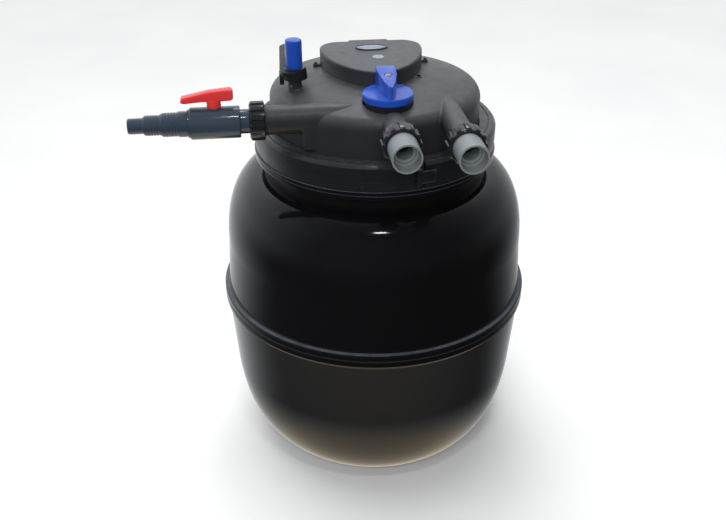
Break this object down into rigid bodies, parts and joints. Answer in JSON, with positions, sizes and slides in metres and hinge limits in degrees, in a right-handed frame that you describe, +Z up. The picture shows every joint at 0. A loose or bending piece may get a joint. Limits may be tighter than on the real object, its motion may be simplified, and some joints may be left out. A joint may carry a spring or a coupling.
{
  "type": "pressurized pond filter",
  "caption": "Tall rounded black tank with a belt and a clamped filter head: selector knob, hose ports, UV unit cover, stepped inlet valve and a cleaning crank.",
  "frame": {"origin": "centre of the tank's flat base, on the surface that it stands on", "axes": "+Z up along the tank's axis; -Y is the front, where the two grey hose sockets point; -X is the side of the inlet ball valve"},
  "size_m": [0.681, 0.586, 0.786],
  "materials": {
    "tank_black": "high gloss black moulded tank",
    "ring_black": "satin black moulded ring",
    "head_black": "fine-grained matt black moulding",
    "cover_black": "fine-grained matt black cover",
    "nut_black": "satin black union nut",
    "blue_plastic": "satin blue moulded plastic",
    "red_plastic": "satin red moulded plastic",
    "socket_grey": "grey PVC with faint turning rings",
    "valve_slate": "dark slate PVC",
    "badge_blue": "plain pale blue oval badge",
    "lens_clear": "milky clear indicator lens",
    "steel": "stainless steel",
    "rubber_black": "black sealing rubber",
    "lamp_white": "white lamp base",
    "lamp_glass": "clear quartz lamp glass",
    "quartz": "clear quartz sleeve",
    "white_plastic": "white low-friction plastic",
    "inner_black": "black moulded grid",
    "foam_blue": "coarse open-cell filter foam, blue",
    "foam_black": "fine open-cell filter foam, black",
    "bio_blue": "ribbed bio balls",
    "ballast_steel": "ballast case"
  },
  "bodies": {
    "filter": {"tank_lower_shell": "tank_black", "tank_upper_shell": "tank_black", "neck_seal": "rubber_black", "clamp_ring": "ring_black", "latch_pin": "steel", "filter_head": "head_black", "uv_cover": "cover_black", "uv_cover_screws": "nut_black", "cover_badge": "badge_blue", "indicator_lens": "lens_clear", "cable_gland": "nut_black", "ballast": "ballast_steel", "lamp_holder": "lamp_white", "uv_lamp": "lamp_glass", "quartz_sleeve": "quartz", "sleeve_seal": "rubber_black", "sleeve_nut": "nut_black", "selector_bonnet": "nut_black", "selector_seal": "rubber_black", "left_socket": "socket_grey", "right_socket": "socket_grey", "port_seals": "rubber_black", "ball_valve_body": "valve_slate", "ball_seats": "white_plastic", "hose_nozzle": "valve_slate", "crank_screw": "steel", "center_tube": "inner_black", "tube_socket": "inner_black", "bio_balls": "bio_blue"},
    "selector": {"selector_knob": "blue_plastic", "selector_rotor": "white_plastic", "selector_screw": "steel"},
    "inlet_valve": {"valve_ball": "white_plastic", "valve_stem": "valve_slate", "valve_lever": "red_plastic", "lever_screw": "steel"},
    "carrier": {"carrier_gear": "white_plastic", "top_grid": "inner_black", "bottom_grid": "inner_black", "tie_rods": "steel", "foam_disc_1": "foam_blue", "foam_disc_2": "foam_black", "foam_disc_3": "foam_blue", "foam_disc_4": "foam_black", "foam_disc_5": "foam_blue", "foam_disc_6": "foam_black"},
    "crank": {"crank_shaft": "steel", "crank_handle": "nut_black", "crank_grip": "blue_plastic", "crank_pinion": "white_plastic"},
    "latch": {"clamp_latch": "ring_black"},
    "inlet_nut": {"inlet_union_nut": "nut_black"},
    "left_nut": {"left_union_nut": "nut_black"},
    "right_nut": {"right_union_nut": "nut_black"}
  },
  "joints": [
    {"name": "selector_turn", "type": "hinge", "parent": "filter", "child": "selector", "pos_m": [0.0045, -0.1195, 0.722], "axis": [0, 0, 1], "range_deg": [-90, 90]},
    {"name": "inlet_valve_turn", "type": "hinge", "parent": "filter", "child": "inlet_valve", "pos_m": [-0.267, -0.1185, 0.72], "axis": [0, 0, 1], "range_deg": [-90, 0]},
    {"name": "carrier_turn", "type": "hinge", "parent": "filter", "child": "carrier", "pos_m": [0, 0, 0.34], "axis": [0, 0, 1], "continuous": true},
    {"name": "crank_turn", "type": "hinge", "parent": "filter", "child": "crank", "pos_m": [-0.137, -0.033, 0.65], "axis": [0, 0, 1], "continuous": true},
    {"name": "latch_open", "type": "hinge", "parent": "filter", "child": "latch", "pos_m": [0.04207, -0.20808, 0.612], "axis": [0, 0, -1], "range_deg": [0, 110]},
    {"name": "inlet_nut_turn", "type": "hinge", "parent": "filter", "child": "inlet_nut", "pos_m": [-0.2018, -0.1185, 0.683], "axis": [1, 0, 0], "continuous": true},
    {"name": "left_nut_turn", "type": "hinge", "parent": "filter", "child": "left_nut", "pos_m": [0.008, -0.232, 0.683], "axis": [0, 1, 0], "continuous": true},
    {"name": "right_nut_turn", "type": "hinge", "parent": "filter", "child": "right_nut", "pos_m": [0.103, -0.2465, 0.683], "axis": [0, 1, 0], "continuous": true}
  ],
  "couplings": [
    {"joint": "crank_turn", "follows": "carrier_turn", "ratio": -4.875}
  ]
}
